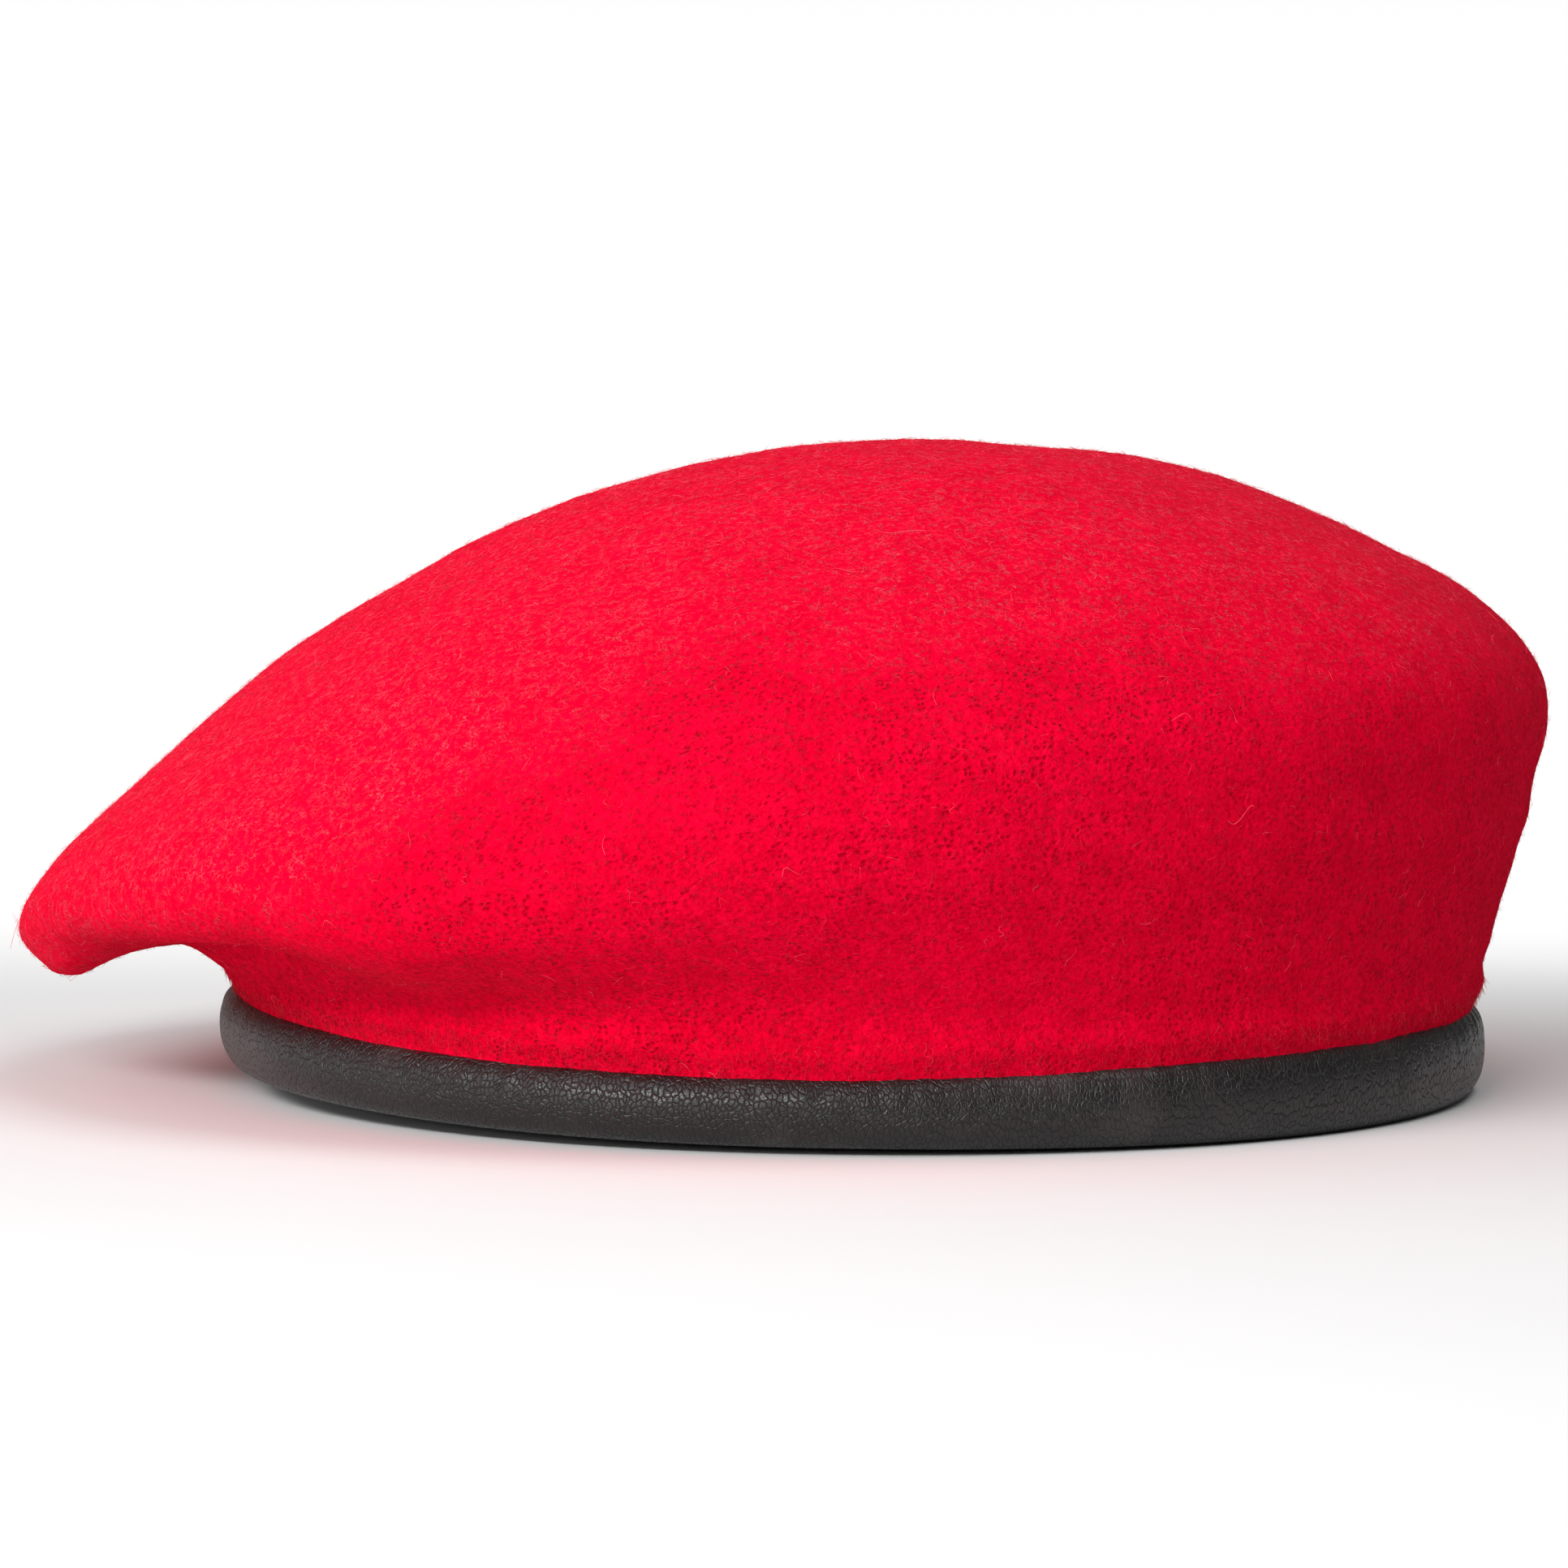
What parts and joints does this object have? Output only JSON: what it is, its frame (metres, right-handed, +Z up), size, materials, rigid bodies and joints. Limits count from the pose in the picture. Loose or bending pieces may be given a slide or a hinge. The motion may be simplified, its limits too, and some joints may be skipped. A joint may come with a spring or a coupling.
{
  "type": "beret",
  "caption": "Felt beret pulled down over one side, with a rolled leather binding, an inner tape that adjusts the fit, a lining, a badge stiffener and side vents.",
  "frame": {"origin": "centre of the round head opening, on the plane that the leather binding rests on", "axes": "+Z up through the crown, +X to the wearer's left (the upright, stiffened side), -X to the wearer's right (the side that the crown is pulled down over), -Y to the wearer's front"},
  "size_m": [0.2317, 0.216, 0.097],
  "materials": {
    "wool_felt": "matte fulled wool with a short nap",
    "binding_leather": "satin black, finely creased",
    "woven_tape": "matte woven tape",
    "thread": "twisted sewing thread",
    "lining_cloth": "smooth lining satin",
    "buckram": "stiff starched weave",
    "label_cloth": "blank woven label",
    "vent_metal": "black lacquer, semi-gloss"
  },
  "bodies": {
    "beret": {"felt_shell": "wool_felt", "leather_binding": "binding_leather", "binding_seam_stitches": "thread", "sweatband_stitches": "thread", "binding_join_stitches": "thread", "lining_side": "lining_cloth", "lining_top": "lining_cloth", "lining_seam_stitches": "thread", "badge_stiffener": "buckram", "size_label": "label_cloth", "front_vent_eyelet": "vent_metal", "front_vent_washer": "vent_metal", "rear_vent_eyelet": "vent_metal", "rear_vent_washer": "vent_metal"},
    "draw_tape": {"draw_tape": "woven_tape"}
  },
  "joints": [
    {"name": "tape_slide", "type": "hinge", "parent": "beret", "child": "draw_tape", "pos_m": [0, 0, 0.0052], "axis": [0, 0, 1], "range_deg": [-2.2, 2.2]}
  ]
}
